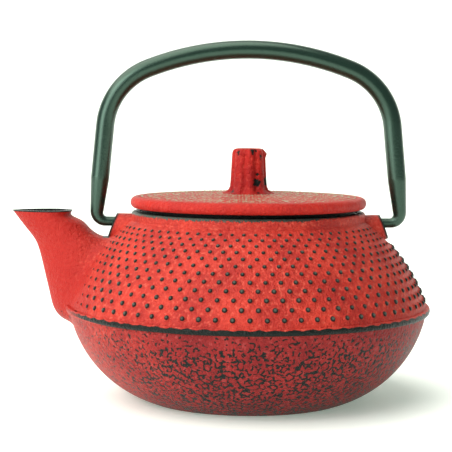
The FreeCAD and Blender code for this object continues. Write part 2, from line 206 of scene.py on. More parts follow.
@dataclass(frozen=True)
class PaintedIron:
    """Sand-cast iron under thin satin paint.

    The eye sees a warm red, mottled, speckled and finely wrinkled like leather, its crests paler as a
    painted highlight, and green-black iron wherever the paint is rubbed off, with a pale painted
    highlight on the tops of nubs.
    """

    name: str
    red: str = "be382b"
    deep_red: str = "a02822"
    # Pale red of the wrinkles' crests: a painted highlight, not a colour of the paint
    crest_highlight_red: str = "e58069"
    iron: str = "0d1613"
    # Pale grey-green of the painted highlights on bare iron
    iron_highlight: str = "8d9a8c"
    # Black of enamel and unpainted iron, also used as painted shade in the gap under the lid
    dark: str = "060707"
    mottle_mm: float = 13.0
    mottle_range: tuple[float, float] = (0.36, 0.68)
    leather_mm: float = 1.3
    leather_depth: float = 1.6
    grain_mm: float = 0.5
    speckle: float = 0.3
    # Share and noise range of the painted highlight on the wrinkles' crests
    crests: float = 0.22
    crest_highlight_range: tuple[float, float] = (0.44, 0.32)
    bare_range: tuple[float, float] = (0.28, 0.44)
    # Painted highlight on the tops of nubs: where it starts and ends on a nub's height, and its share
    highlight_range: tuple[float, float] = (0.72, 0.97)
    tip_highlight: float = 0.26
    paint_depth: float = 0.3
    paint_roughness: float = 0.45
    iron_roughness: float = 0.3
    specular: float = 0.16
    bump_mm: float = 0.42

    def leather(self, finish: Finish) -> Node:
        """Noise of the paint's wrinkles."""
        return finish.add("TexNoise", {"Vector": finish.place, "Scale": 1 / (self.leather_mm * MM),
                                       "Detail": 3.0})

    def paint(self, finish: Finish) -> NodeSocket:
        """Mix the colour of the sound paint, with a painted highlight on the crests of its wrinkles.

        Args:
            finish: Material that the nodes go into.

        Returns:
            The colour.
        """
        add = finish.add
        mottle = add("TexNoise", {"Vector": finish.place, "Scale": 1 / (self.mottle_mm * MM), "Detail": 4.0})
        leather = self.leather(finish)
        depth = add("Math", {0: leather, 1: self.speckle * 2, 2: mottle}, operation="MULTIPLY_ADD")
        share = add("MapRange", {"Value": depth, "From Min": self.mottle_range[0] + self.speckle,
                                 "From Max": self.mottle_range[1] + self.speckle})
        mixed = add("Mix", {0: share, FIRST: linear(self.red), SECOND: linear(self.deep_red)},
                    data_type="RGBA")
        # Painted highlight: the crests of the wrinkles are mixed towards a pale red
        crest = add("MapRange", {"Value": leather, "From Min": self.crest_highlight_range[0],
                                 "From Max": self.crest_highlight_range[1], "To Max": self.crests})
        return add("Mix", {0: crest, FIRST: mixed.outputs[MIXED], SECOND: linear(self.crest_highlight_red)},
                   data_type="RGBA").outputs[MIXED]

    def nub_height(self, finish: Finish) -> NodeSocket:
        """Height on a nub, from 0 at its foot to 1 at its head, and 0 on what has no nubs."""
        return finish.add("Attribute", attribute_name=TIP_ATTRIBUTE).outputs["Fac"]

    def worn(self, finish: Finish) -> NodeSocket:
        """Mask of the bare iron, here the heads of nubs."""
        low, high = self.bare_range
        return finish.add("MapRange", {"Value": self.nub_height(finish), "From Min": low,
                                       "From Max": high}).outputs[0]

    def pale(self, finish: Finish) -> NodeSocket:
        """How far the bare iron is painted pale as a highlight, from 0 to 1, here on the very tops of nubs.
        """
        low, high = self.highlight_range
        return finish.add("MapRange", {"Value": self.nub_height(finish), "From Min": low, "From Max": high,
                                       "To Max": self.tip_highlight}).outputs[0]

    def hidden(self, finish: Finish) -> NodeSocket | None:
        """Mask of dark enamel, unpainted iron and painted shade in gaps, or None."""
        return None

    def material(self) -> Material:
        """Build the material.

        Returns:
            The finished material.
        """
        finish = Finish(self.name)
        add = finish.add
        worn = self.worn(finish)
        # Painted highlight: bare iron is mixed towards a pale colour on the tops of nubs
        iron = add("Mix", {0: self.pale(finish), FIRST: linear(self.iron), SECOND: linear(self.iron_highlight)},
                   data_type="RGBA")
        colour = add("Mix", {0: worn, FIRST: self.paint(finish), SECOND: iron.outputs[MIXED]},
                     data_type="RGBA")
        hidden = self.hidden(finish)
        if hidden is not None:
            # Enamel and unpainted iron, partly standing in as painted shade
            colour = add("Mix", {0: hidden, FIRST: colour.outputs[MIXED], SECOND: linear(self.dark)},
                         data_type="RGBA")
        grain = add("TexNoise", {"Vector": finish.place, "Scale": 1 / (self.grain_mm * MM), "Detail": 2.0})
        skin = add("Math", {0: self.leather(finish), 1: self.leather_depth, 2: grain},
                   operation="MULTIPLY_ADD")
        height = add("Math", {0: worn, 1: -self.paint_depth, 2: skin}, operation="MULTIPLY_ADD")
        bump = add("Bump", {"Height": height, "Strength": 1.0, "Distance": self.bump_mm * MM})
        gloss = add("MapRange", {"Value": worn, "To Min": self.paint_roughness,
                                 "To Max": self.iron_roughness})
        surface = add("BsdfPrincipled", {"Base Color": colour.outputs[MIXED], "Roughness": gloss,
                                         "Specular IOR Level": self.specular, "Normal": bump})
        return finish.close(surface)


@dataclass(frozen=True)
class PotIron(PaintedIron):
    """The pot's paint: rubbed off the hobnails, belt and rim, and off the bowl in short worms.

    The inside of the pot and of the spout is black enamel, and the black throat is partly painted shade
    in the gap under the lid.
    """

    name: str = "painted_cast_iron"
    # Painted shade on the bowl, and the paint of the spout
    bowl_painted_shade: str = "c6b4d8"
    bowl_edge_mm: float = 0.2
    least_bowl_shade: float = 0.1
    spout_red: str = "a82019"
    spout_cover: float = 0.85
    spout_root_mm: float = -52.0
    spout_smooth_mm: float = -64.0
    # Worms on the bowl
    worm_mm: float = 2.1
    worm_sway_mm: float = 1.4
    worm_range: tuple[float, float] = (0.18, 0.11)
    worm_top_mm: float = 31.5
    worm_full_mm: float = 23.0
    worm_start_mm: float = -66.0
    worm_dense_mm: float = -22.0
    stroke_mm: float = 1.2
    stroke_few: float = 0.62
    stroke_many: float = 0.46
    stroke_edge: float = 0.03
    # Belt
    belt_foot_mm: float = 31.75
    belt_foot_range_mm: tuple[float, float] = (-0.1, 0.2)
    belt_top_mm: float = 33.95
    belt_soft_mm: float = 0.2
    belt_end_mm: float = -66.0
    belt_clear_mm: float = -58.0
    belt_full_mm: float = -46.0
    belt_thin_mm: float = 1.3
    scallop_mm: float = 0.2
    ragged_mm: float = 1.8
    ragged_reach_mm: float = 0.4
    # Rim
    rim_low_mm: float = 67.0
    rim_soft_mm: float = 0.3
    rim_reach_mm: float = 43.4
    rim_grit_mm: float = 0.8
    rim_grit_range: tuple[float, float] = (0.35, 0.65)
    rim_speckle_mm: float = 0.4
    rim_full_mm: float = 18.0
    rim_clear_mm: float = 36.0
    rim_creep_mm: float = 0.9
    # Painted highlight on the bare rim, stronger on the left towards the light
    rim_highlight_left: float = 0.24
    rim_highlight_right: float = 0.06
    # Lip of the spout and ends of the ears
    lip_mm: float = 67.55
    lip_start_mm: float = 58.0
    ear_top_mm: float = 67.0
    ear_foot_mm: float = 58.2
    ear_reach_mm: float = 48.0
    ear_end_mm: float = 53.0
    ear_slant: float = 3.3 / 8.6
    ear_bare_range_mm: tuple[float, float] = (-1.2, -0.4)
    # Inside of the pot and of the spout
    wall_middle_mm: float = 1.5
    floor_middle_mm: float = 2.0
    throat_mm: float = 41.2
    throat_foot_mm: float = 60.0
    spout_mouth_mm: float = -75.2
    spout_lean: float = 0.93
    spout_start_mm: float = -60.0

    def bowl(self, finish: Finish) -> NodeSocket:
        """Mask of the bowl under the belt."""
        return finish.add("MapRange", {"Value": finish.axes[2],
                                       "From Min": (self.belt_foot_mm + self.bowl_edge_mm) * MM,
                                       "From Max": (self.belt_foot_mm - self.bowl_edge_mm) * MM}).outputs[0]

    def paint(self, finish: Finish) -> NodeSocket:
        """Mix the shoulder's speckled red and the spout's smooth red, with painted shade on the bowl.

        Args:
            finish: Material that the nodes go into.

        Returns:
            The colour.
        """
        add = finish.add
        across = finish.axes[0]
        bowl = self.bowl(finish)
        # Painted shade: the bowl under the overhang is darkened, least on the lit left by the spout
        away = add("MapRange", {"Value": across, "From Min": self.worm_start_mm * MM,
                                "From Max": self.worm_dense_mm * MM, "To Min": self.least_bowl_shade})
        painted_shade = add("Math", {0: bowl, 1: away}, operation="MULTIPLY")
        smooth = add("MapRange", {"Value": across, "From Min": self.spout_root_mm * MM,
                                  "From Max": self.spout_smooth_mm * MM, "To Max": self.spout_cover})
        above = add("Math", {0: 1.0, 1: bowl}, operation="SUBTRACT")
        spout = add("Math", {0: smooth, 1: above}, operation="MULTIPLY")
        upper = add("Mix", {0: spout, FIRST: super().paint(finish), SECOND: linear(self.spout_red)},
                    data_type="RGBA")
        return add("Mix", {0: painted_shade, FIRST: upper.outputs[MIXED], SECOND: linear(self.bowl_painted_shade)},
                   data_type="RGBA", blend_type="MULTIPLY").outputs[MIXED]

    def worms(self, finish: Finish) -> NodeSocket:
        """Draw the short bare strokes on the bowl: swayed cell edges, broken by a finer noise.

        Args:
            finish: Material that the nodes go into.

        Returns:
            Mask of the strokes, fewer under the belt and at the spout.
        """
        add = finish.add
        noise = add("TexNoise", {"Vector": finish.place, "Scale": 1 / (self.worm_mm * MM), "Detail": 1.0})
        centred = add("VectorMath", {0: noise.outputs["Color"], 1: (0.5, 0.5, 0.5)}, operation="SUBTRACT")
        sway = self.worm_sway_mm * MM
        swayed = add("VectorMath", {0: centred, 1: (sway, sway, sway), 2: finish.place},
                     operation="MULTIPLY_ADD")
        cells = add("TexVoronoi", {"Vector": swayed, "Scale": 1 / (self.worm_mm * MM)},
                    feature="DISTANCE_TO_EDGE")
        lines = add("MapRange", {"Value": cells.outputs["Distance"], "From Min": self.worm_range[0],
                                 "From Max": self.worm_range[1]})
        low = add("MapRange", {"Value": finish.axes[2], "From Min": self.worm_top_mm * MM,
                               "From Max": self.worm_full_mm * MM})
        right = add("MapRange", {"Value": finish.axes[0], "From Min": self.worm_start_mm * MM,
                                 "From Max": self.worm_dense_mm * MM})
        dense = add("Math", {0: low, 1: right}, operation="MULTIPLY")
        level = add("MapRange", {"Value": dense, "To Min": self.stroke_few, "To Max": self.stroke_many})
        breaks = add("TexNoise", {"Vector": finish.place, "Scale": 1 / (self.stroke_mm * MM), "Detail": 1.0})
        raised = add("Math", {0: breaks, 1: level}, operation="SUBTRACT")
        strokes = add("MapRange", {"Value": raised, "From Min": -self.stroke_edge,
                                   "From Max": self.stroke_edge})
        broken = add("Math", {0: lines, 1: strokes}, operation="MULTIPLY")
        return add("Math", {0: broken, 1: self.bowl(finish)}, operation="MULTIPLY").outputs[0]

    def belt(self, finish: Finish) -> NodeSocket:
        """Draw the bare belt, scalloped and ragged under the lowest row of hobnails.

        Args:
            finish: Material that the nodes go into.

        Returns:
            Mask of the belt, thinner towards the spout.
        """
        add = finish.add
        across, along, height = finish.axes
        ragged = add("TexNoise", {"Vector": finish.place, "Scale": 1 / (self.ragged_mm * MM), "Detail": 3.0})
        reach = self.ragged_reach_mm * MM
        shift = add("MapRange", {"Value": ragged, "To Min": -reach, "To Max": reach})
        turn = add("Math", {0: along, 1: across}, operation="ARCTAN2")
        # Rows start from -Y, a quarter turn before +X, and the lowest row is a shifted one
        quarter = HOBNAILS_PER_ROW * math.pi / 2
        start = (HOBNAIL_PHASE + HOBNAIL_STAGGER) * 2 * math.pi
        waves = add("Math", {0: turn, 1: float(HOBNAILS_PER_ROW), 2: quarter - start},
                    operation="MULTIPLY_ADD")
        wave = add("Math", {0: waves}, operation="COSINE")
        top = add("Math", {0: wave, 1: -self.scallop_mm * MM, 2: self.belt_top_mm * MM},
                  operation="MULTIPLY_ADD")
        edge = add("Math", {0: top, 1: shift}, operation="ADD")
        room = add("Math", {0: edge, 1: height}, operation="SUBTRACT")
        below = add("MapRange", {"Value": room, "From Max": self.belt_soft_mm * MM})
        thin = add("MapRange", {"Value": across, "From Min": self.belt_end_mm * MM,
                                "From Max": self.belt_full_mm * MM, "To Min": self.belt_thin_mm * MM,
                                "To Max": 0.0})
        depth = add("Math", {0: height, 1: thin}, operation="SUBTRACT")
        foot = [(self.belt_foot_mm + offset) * MM for offset in self.belt_foot_range_mm]
        above = add("MapRange", {"Value": depth, "From Min": foot[0], "From Max": foot[1]})
        away = add("MapRange", {"Value": across, "From Min": self.belt_end_mm * MM,
                                "From Max": self.belt_clear_mm * MM})
        band = add("Math", {0: below, 1: above}, operation="MULTIPLY")
        return add("Math", {0: band, 1: away}, operation="MULTIPLY").outputs[0]

    def rim(self, finish: Finish) -> NodeSocket:
        """Draw the bare rim with its speckled lower edge.

        Args:
            finish: Material that the nodes go into.

        Returns:
            Mask of the rim, narrower on the right, where the paint creeps higher.
        """
        add = finish.add
        grit = add("TexNoise", {"Vector": finish.place, "Scale": 1 / (self.rim_grit_mm * MM), "Detail": 2.0})
        speckle = self.rim_speckle_mm * MM
        lift = add("MapRange", {"Value": grit, "From Min": self.rim_grit_range[0],
                                "From Max": self.rim_grit_range[1], "To Min": -speckle, "To Max": speckle})
        creep = add("MapRange", {"Value": finish.axes[0], "From Min": self.rim_full_mm * MM,
                                 "From Max": self.rim_clear_mm * MM, "To Max": -self.rim_creep_mm * MM})
        height = add("Math", {0: finish.axes[2], 1: creep}, operation="ADD")
        rough = add("Math", {0: height, 1: lift}, operation="ADD")
        high = add("MapRange", {"Value": rough, "From Min": self.rim_low_mm * MM,
                                "From Max": (self.rim_low_mm + self.rim_soft_mm) * MM})
        near = add("Math", {0: finish.radius, 1: self.rim_reach_mm * MM}, operation="LESS_THAN")
        return add("Math", {0: high, 1: near}, operation="MULTIPLY").outputs[0]

    def edges(self, finish: Finish) -> NodeSocket:
        """Draw the bare spout lip and ends of the ears.

        Args:
            finish: Material that the nodes go into.

        Returns:
            Mask of both.
        """
        add = finish.add
        height = finish.axes[2]
        mouth = add("Math", {0: height, 1: self.lip_mm * MM}, operation="GREATER_THAN")
        far = add("Math", {0: finish.radius, 1: self.lip_start_mm * MM}, operation="GREATER_THAN")
        lip = add("Math", {0: mouth, 1: far}, operation="MULTIPLY")
        out = add("Math", {0: finish.axes[0]}, operation="ABSOLUTE")
        lean = add("Math", {0: height, 1: self.ear_slant, 2: out}, operation="MULTIPLY_ADD")
        face = self.ear_reach_mm + self.ear_slant * self.ear_top_mm
        bare = [(face + depth) * MM for depth in self.ear_bare_range_mm]
        end = add("MapRange", {"Value": lean, "From Min": bare[0], "From Max": bare[1]})
        raised = add("Math", {0: height, 1: self.ear_foot_mm * MM}, operation="GREATER_THAN")
        short = add("Math", {0: out, 1: self.ear_end_mm * MM}, operation="LESS_THAN")
        boss = add("Math", {0: raised, 1: short}, operation="MULTIPLY")
        ear = add("Math", {0: end, 1: boss}, operation="MULTIPLY")
        return add("Math", {0: lip, 1: ear}, operation="MAXIMUM").outputs[0]

    def pale(self, finish: Finish) -> NodeSocket:
        """Add a painted highlight on the bare rim to the one on the tops of nubs.

        Args:
            finish: Material that the nodes go into.

        Returns:
            How far the bare iron is painted pale as a highlight, on the rim most on the left, towards the
            light.
        """
        add = finish.add
        # Painted highlight: the rim is mixed towards pale, more on the left than on the right
        reach = self.rim_reach_mm * MM
        side = add("MapRange", {"Value": finish.axes[0], "From Min": -reach, "From Max": reach,
                                "To Min": self.rim_highlight_left, "To Max": self.rim_highlight_right})
        rubbed = add("Math", {0: self.rim(finish), 1: side}, operation="MULTIPLY")
        return add("Math", {0: super().pale(finish), 1: rubbed}, operation="MAXIMUM").outputs[0]

    def worn(self, finish: Finish) -> NodeSocket:
        """Put the heads of nubs, worms, belt, rim and edges together.

        Args:
            finish: Material that the nodes go into.

        Returns:
            Mask of all bare iron.
        """
        worn = super().worn(finish)
        for mask in (self.worms, self.belt, self.rim, self.edges):
            worn = finish.add("Math", {0: worn, 1: mask(finish)}, operation="MAXIMUM").outputs[0]
        return worn

    def cavity(self, finish: Finish) -> Node:
        """Find what lies within the middle of the pot's wall, and the throat above it, partly painted shade.

        Args:
            finish: Material that the nodes go into.

        Returns:
            Node with the mask.
        """
        add = finish.add
        height = finish.axes[2]
        section = add("CombineXYZ", {0: finish.radius, 1: height})
        within = add("Math", {0: height, 1: self.floor_middle_mm * MM}, operation="GREATER_THAN")
        for arc in (BOWL, SHOULDER):
            across, rise, reach = (size * MM for size in arc.circle())
            span = add("VectorMath", {0: section, 1: (across, rise, 0.0)}, operation="DISTANCE")
            inner = add("Math", {0: span.outputs["Value"], 1: reach - self.wall_middle_mm * MM},
                        operation="LESS_THAN")
            within = add("Math", {0: within, 1: inner}, operation="MULTIPLY")
        # The throat is black partly as painted shade in the gap under the lid
        narrow = add("Math", {0: finish.radius, 1: self.throat_mm * MM}, operation="LESS_THAN")
        high = add("Math", {0: height, 1: self.throat_foot_mm * MM}, operation="GREATER_THAN")
        throat = add("Math", {0: narrow, 1: high}, operation="MULTIPLY")
        return add("Math", {0: within, 1: throat}, operation="MAXIMUM")

    def channel(self, finish: Finish) -> Node:
        """Find the faces of the spout that look towards its own leaning middle line.

        Args:
            finish: Material that the nodes go into.

        Returns:
            Node with the mask.
        """
        add = finish.add
        mouth = (self.spout_mouth_mm + self.spout_lean * RIM_MM) * MM
        middle = add("Math", {0: finish.axes[2], 1: -self.spout_lean, 2: mouth}, operation="MULTIPLY_ADD")
        centre = add("CombineXYZ", {0: middle, 2: finish.axes[2]})
        spoke = add("VectorMath", {0: finish.place, 1: centre}, operation="SUBTRACT")
        normal = add("TexCoord").outputs["Normal"]
        facing = add("VectorMath", {0: spoke, 1: normal}, operation="DOT_PRODUCT")
        inward = add("Math", {0: facing.outputs["Value"], 1: 0.0}, operation="LESS_THAN")
        beyond = add("Math", {0: finish.axes[0], 1: self.spout_start_mm * MM}, operation="LESS_THAN")
        return add("Math", {0: inward, 1: beyond}, operation="MULTIPLY")

    def hidden(self, finish: Finish) -> NodeSocket:
        """Mask of the enamel in the pot and in the spout, and of painted shade in the throat under the lid.
        """
        return finish.add("Math", {0: self.cavity(finish), 1: self.channel(finish)},
                          operation="MAXIMUM").outputs[0]


@dataclass(frozen=True)
class LidIron(PaintedIron):
    """The lid's paint: smooth red on the edge, grey-green flecks between the dots on top, made paler as a
    painted sheen.
    """

    name: str = "painted_cast_iron_lid"
    red: str = "b8281e"
    deep_red: str = "a3201c"
    crests: float = 0.08
    speckle: float = 0.15
    # Pale dot tops are a painted highlight
    tip_highlight: float = 0.7
    # Fleck colour: real grey-green flecks, made paler as a painted sheen on the top
    iron: str = "9b9b80"
    iron_highlight: str = "e6dabc"
    # Dark underside, seat and spigot: unpainted iron, and painted shade in the black gap under the lid's
    # edge
    underside_mm: float = 69.4
    seat_mm: float = 41.0
    plate_mm: float = 71.0
    top_mm: float = 73.3
    top_soft_mm: float = 0.25
    fleck_mm: float = 1.9
    fleck_range: tuple[float, float] = (0.5, 0.62)
    fleck_and_sheen_cover: float = 0.75

    def worn(self, finish: Finish) -> NodeSocket:
        """Add flecks between the heads of the dots, pale partly as a painted sheen.

        Args:
            finish: Material that the nodes go into.

        Returns:
            Mask of the bare iron.
        """
        add = finish.add
        top = add("MapRange", {"Value": finish.axes[2], "From Min": self.top_mm * MM,
                               "From Max": (self.top_mm + self.top_soft_mm) * MM})
        noise = add("TexNoise", {"Vector": finish.place, "Scale": 1 / (self.fleck_mm * MM), "Detail": 2.0})
        flecks = add("MapRange", {"Value": noise, "From Min": self.fleck_range[0],
                                  "From Max": self.fleck_range[1], "To Max": self.fleck_and_sheen_cover})
        shown = add("Math", {0: flecks, 1: top}, operation="MULTIPLY")
        return add("Math", {0: super().worn(finish), 1: shown}, operation="MAXIMUM").outputs[0]

    def hidden(self, finish: Finish) -> NodeSocket:
        """Find the underside, seat and spigot: unpainted dark iron, also painted shade in the gap under the
        lid.

        Args:
            finish: Material that the nodes go into.

        Returns:
            Mask of all three.
        """
        add = finish.add
        height = finish.axes[2]
        within = add("Math", {0: finish.radius, 1: self.seat_mm * MM}, operation="LESS_THAN")
        low = add("Math", {0: height, 1: self.plate_mm * MM}, operation="LESS_THAN")
        plate = add("Math", {0: within, 1: low}, operation="MULTIPLY")
        under = add("Math", {0: height, 1: self.underside_mm * MM}, operation="LESS_THAN")
        return add("Math", {0: plate, 1: under}, operation="MAXIMUM").outputs[0]


@dataclass(frozen=True)
class KnobIron(PaintedIron):
    """The knob's paint: chipped to dark iron in ragged spots, each given by its middle and reach."""

    name: str = "painted_cast_iron_knob"
    red: str = "b9251c"
    deep_red: str = "8e1618"
    crests: float = 0.1
    speckle: float = 0.15
    spots_mm: tuple[tuple[float, float, float, float], ...] = (
        (-3.8, -4.6, 89.6, 0.9),
        (1.8, -5.6, 89.8, 1.2),
        (4.0, -4.3, 88.0, 0.9),
        (2.9, -5.4, 78.8, 1.6),
        (3.1, -5.4, 82.0, 0.8),
        (3.6, -6.6, 75.6, 1.0),
        (-6.2, -5.0, 75.4, 1.1),
        (6.4, -0.8, 79.0, 1.5),
    )
    spot_soft_mm: float = 0.5
    ragged_mm: float = 1.3
    ragged_range: tuple[float, float] = (0.3, 0.7)
    ragged_reach_mm: float = 0.8

    def worn(self, finish: Finish) -> NodeSocket:
        """Draw the spots, each with a ragged edge.

        Args:
            finish: Material that the nodes go into.

        Returns:
            Mask of the bare iron.
        """
        add = finish.add
        worn = super().worn(finish)
        noise = add("TexNoise", {"Vector": finish.place, "Scale": 1 / (self.ragged_mm * MM), "Detail": 3.0})
        reach = self.ragged_reach_mm * MM
        ragged = add("MapRange", {"Value": noise, "From Min": self.ragged_range[0],
                                  "From Max": self.ragged_range[1], "To Min": -reach, "To Max": reach})
        for *middle, size in self.spots_mm:
            span = add("VectorMath", {0: finish.place, 1: Vector(middle) * MM}, operation="DISTANCE")
            rough = add("Math", {0: span.outputs["Value"], 1: ragged}, operation="ADD")
            spot = add("MapRange", {"Value": rough, "From Min": size * MM,
                                    "From Max": (size - self.spot_soft_mm) * MM})
            worn = add("Math", {0: worn, 1: spot}, operation="MAXIMUM").outputs[0]
        return worn


@dataclass(frozen=True)
class PaintedTube:
    """Rolled steel tube under satin paint: even and dark green, with a broad soft highlight.

    The shading is blended over the edge where the tube is drawn down, which the paint rounds off.
    """

    name: str = "painted_steel_tube"
    green: str = "0f231c"
    dark: str = "0b1b15"
    sheen_tint: str = "c3eed6"
    mottle_mm: float = 9.0
    grain_mm: float = 0.6
    grain_strength: float = 0.15
    grain_depth_mm: float = 0.2
    blend_mm: float = 2.5
    blend_samples: int = 8
    roughness: float = 0.23
    specular: float = 1.0

    def material(self) -> Material:
        """Build the material.

        Returns:
            The finished material.
        """
        finish = Finish(self.name)
        add = finish.add
        mottle = add("TexNoise", {"Vector": finish.place, "Scale": 1 / (self.mottle_mm * MM), "Detail": 3.0})
        colour = add("Mix", {0: mottle, FIRST: linear(self.green), SECOND: linear(self.dark)},
                     data_type="RGBA")
        grain = add("TexNoise", {"Vector": finish.place, "Scale": 1 / (self.grain_mm * MM), "Detail": 2.0})
        blend = add("Bevel", {"Radius": self.blend_mm * MM}, samples=self.blend_samples)
        bump = add("Bump", {"Height": grain, "Strength": self.grain_strength,
                            "Distance": self.grain_depth_mm * MM, "Normal": blend})
        surface = add("BsdfPrincipled", {"Base Color": colour.outputs[MIXED], "Roughness": self.roughness,
                                         "Specular IOR Level": self.specular,
                                         "Specular Tint": linear(self.sheen_tint), "Normal": bump})
        return finish.close(surface)


@dataclass(frozen=True)
class Stainless:
    """Pressed stainless sheet: grey metal, its gloss broken by fine rolling marks."""

    name: str
    grey: str
    roughness: float
    roughness_spread: float = 0.1
    mark_mm: float = 0.8
    mark_strength: float = 0.15
    mark_depth_mm: float = 0.05

    def material(self) -> Material:
        """Build the material.

        Returns:
            The finished material.
        """
        finish = Finish(self.name)
        add = finish.add
        marks = add("TexNoise", {"Vector": finish.place, "Scale": 1 / (self.mark_mm * MM), "Detail": 4.0})
        gloss = add("MapRange", {"Value": marks, "To Min": self.roughness - self.roughness_spread,
                                 "To Max": self.roughness + self.roughness_spread})
        bump = add("Bump", {"Height": marks, "Strength": self.mark_strength,
                            "Distance": self.mark_depth_mm * MM})
        surface = add("BsdfPrincipled", {"Base Color": linear(self.grey), "Metallic": 1.0,
                                         "Roughness": gloss, "Normal": bump})
        return finish.close(surface)


@dataclass(frozen=True)
class WovenSteel:
    """Woven stainless wire: bright crossing wires over holes painted dark as shade, round the axis or flat.

    The wires lie further apart than in a fine tea mesh, so that they show in a render.
    """

    name: str
    flat: bool
    pitch_mm: float = 0.8
    sleeve_mm: float = 35.6
    wire: str = "b9bab8"
    hole_shade: str = "1b1c1c"
    wire_range: tuple[float, float] = (0.62, 0.74)
    wire_strength: float = 0.7
    wire_depth_mm: float = 0.25
    metallic: float = 0.9
    roughness: float = 0.38

    def material(self) -> Material:
        """Build the material.

        Returns:
            The finished material.
        """
        finish = Finish(self.name)
        add = finish.add
        along, across, height = finish.axes
        ways = (along, across)
        if not self.flat:
            turn = add("Math", {0: across, 1: along}, operation="ARCTAN2")
            ways = (add("Math", {0: turn, 1: self.sleeve_mm * MM}, operation="MULTIPLY"), height)
        crests = []
        for way in ways:
            wave = add("Math", {0: way, 1: math.pi / (self.pitch_mm * MM)}, operation="MULTIPLY")
            swing = add("Math", {0: wave}, operation="COSINE")
            crests.append(add("Math", {0: swing}, operation="ABSOLUTE"))
        crest = add("Math", {0: crests[0], 1: crests[1]}, operation="MAXIMUM")
        wires = add("MapRange", {"Value": crest, "From Min": self.wire_range[0],
                                 "From Max": self.wire_range[1]})
        # Painted shade: the holes between the wires are dark in place of the shade seen through them
        colour = add("Mix", {0: wires, FIRST: linear(self.hole_shade), SECOND: linear(self.wire)},
                     data_type="RGBA")
        bump = add("Bump", {"Height": crest, "Strength": self.wire_strength,
                            "Distance": self.wire_depth_mm * MM})
        surface = add("BsdfPrincipled", {"Base Color": colour.outputs[MIXED], "Metallic": self.metallic,
                                         "Roughness": self.roughness, "Normal": bump})
        return finish.close(surface)


def deselect_all() -> None:
    """Leave no object selected or active, so that operators reach only what is added next."""
    bpy.ops.object.select_all(action="DESELECT")
    bpy.context.view_layer.objects.active = None


def make_only(piece: Object) -> None:
    """Select one object alone and make it active.

    Args:
        piece: The object.
    """
    deselect_all()
    piece.select_set(True)
    bpy.context.view_layer.objects.active = piece


@contextmanager
def editing(piece: Object, element: Element, picked: list[int]) -> Iterator[None]:
    """Hold the active object in edit mode with some of its elements selected and nothing else.

    Args:
        piece: The active object.
        element: Kind of element that is picked.
        picked: Numbers of the vertices or faces.

    Returns:
        A context for the edit operators.
    """
    bpy.ops.object.mode_set(mode="EDIT")
    bpy.ops.mesh.select_mode(type=element.value)
    bpy.ops.mesh.select_all(action="DESELECT")
    bpy.ops.object.mode_set(mode="OBJECT")
    elements = piece.data.vertices if element is Element.VERTEX else piece.data.polygons
    for number in picked:
        elements[number].select = True
    bpy.ops.object.mode_set(mode="EDIT")
    yield
    bpy.ops.object.mode_set(mode="OBJECT")


def top_faces(piece: Object) -> list[int]:
    """Numbers of the faces that look up."""
    return [face.index for face in piece.data.polygons if face.normal.z > UPWARD]


def dress(piece: Object, material: Material) -> None:
    """Give a piece one material in place of those it came with.

    Args:
        piece: The piece.
        material: Its material.
    """
    piece.data.materials.clear()
    piece.data.materials.append(material)
    log.info("%s wears %s", piece.name, material.name)


def settle(piece: Object, body: Body, slot: Slot) -> None:
    """Let a new piece ride on its body.

    Args:
        piece: The finished piece.
        body: CAD body that it moves with.
        slot: Material slot of the record; not used.
    """
    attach(piece, body.value)
    log.info("%s rides on %s, %d faces", piece.name, body.value, len(piece.data.polygons))


@dataclass
class Nub:
    """One cast nub: a round head on a flared foot, standing along +Z and sunk into the surface.

    Each step goes in by a share of the radius and up by a share of the height.
    """

    radius_mm: float
    height_mm: float
    sink_mm: float
    sides: int
    steps: tuple[tuple[float, float], ...] = (
        (0.16, 0.06),
        (0.17, 0.2),
        (0.11, 0.26),
        (0.14, 0.29),
        (0.22, 0.17),
    )
    crown: float = 0.02

    def build(self) -> Object:
        """Model the nub from a short cylinder by insets that step up to its head.

        Returns:
            The nub at the origin, with its tip attribute from 0 at the foot to 1 at the head.
        """
        deselect_all()
        bpy.ops.mesh.primitive_cylinder_add(vertices=self.sides, radius=self.radius_mm * MM,
                                            depth=self.sink_mm * MM, end_fill_type="NGON",
                                            location=(0, 0, -self.sink_mm * MM / 2))
        nub = bpy.context.object
        bpy.ops.object.transform_apply(location=True, rotation=False, scale=False)
        with editing(nub, Element.FACE, top_faces(nub)):
            for inset, rise in self.steps:
                bpy.ops.mesh.inset(thickness=inset * self.radius_mm * MM, depth=rise * self.height_mm * MM)
            bpy.ops.mesh.poke(offset=self.crown * self.height_mm * MM)
        wear = nub.data.attributes.new(TIP_ATTRIBUTE, "FLOAT", "POINT")
        for vertex in nub.data.vertices:
            wear.data[vertex.index].value = max(0.0, vertex.co.z / (self.height_mm * MM))
        return nub


